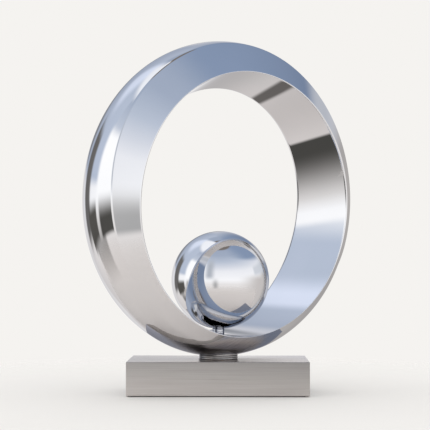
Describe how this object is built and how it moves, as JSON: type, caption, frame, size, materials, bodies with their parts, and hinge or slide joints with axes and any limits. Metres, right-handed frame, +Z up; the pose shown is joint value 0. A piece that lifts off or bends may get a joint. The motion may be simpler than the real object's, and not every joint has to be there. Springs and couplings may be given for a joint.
{
  "type": "ring sculpture on a block",
  "caption": "Polished metal ring with a bevelled face and a slanting hole, carrying a polished ball on a short stem, that turns on a collar over a brushed block.",
  "frame": {"origin": "middle of the underside of the block, on the ring's swivel axis", "axes": "+Z up along the swivel axis, +X along the block's long side, -Y towards the front"},
  "size_m": [0.2995, 0.2609, 0.3934],
  "materials": {
    "satin_steel": "brushed along its length",
    "mirror_steel": "mirror polished",
    "inner_steel": "mill finish",
    "bronze": "machined",
    "cast_iron": "as cast",
    "zinc_screws": "zinc plated",
    "felt": "dense felt"
  },
  "bodies": {
    "block": {"block_shell": "satin_steel", "corner_blocks": "inner_steel", "ballast": "cast_iron", "bottom_plate": "inner_steel", "corner_screws": "zinc_screws", "ballast_screws": "zinc_screws", "felt_sheet": "felt", "bearing_housing": "inner_steel", "spindle_bush": "bronze", "thrust_washer": "bronze", "lower_washer": "bronze"},
    "ring": {"collar": "mirror_steel", "spindle": "inner_steel", "disc_springs": "inner_steel", "nut_washer": "inner_steel", "lock_nut": "zinc_screws", "outer_band_upper": "mirror_steel", "outer_band_lower": "mirror_steel", "inner_band_upper": "mirror_steel", "inner_band_lower": "mirror_steel", "front_bevel_upper": "mirror_steel", "front_bevel_lower": "mirror_steel", "back_face_upper": "mirror_steel", "back_face_lower": "mirror_steel", "ring_frames": "inner_steel", "ring_boss": "inner_steel", "ball_lower_shell": "mirror_steel", "ball_upper_shell": "mirror_steel", "ball_boss": "inner_steel", "ball_stem": "mirror_steel", "ball_stud": "zinc_screws"}
  },
  "joints": [
    {"name": "ring swivel", "type": "hinge", "parent": "block", "child": "ring", "pos_m": [0, 0, 0.038], "axis": [0, 0, 1], "continuous": true}
  ]
}
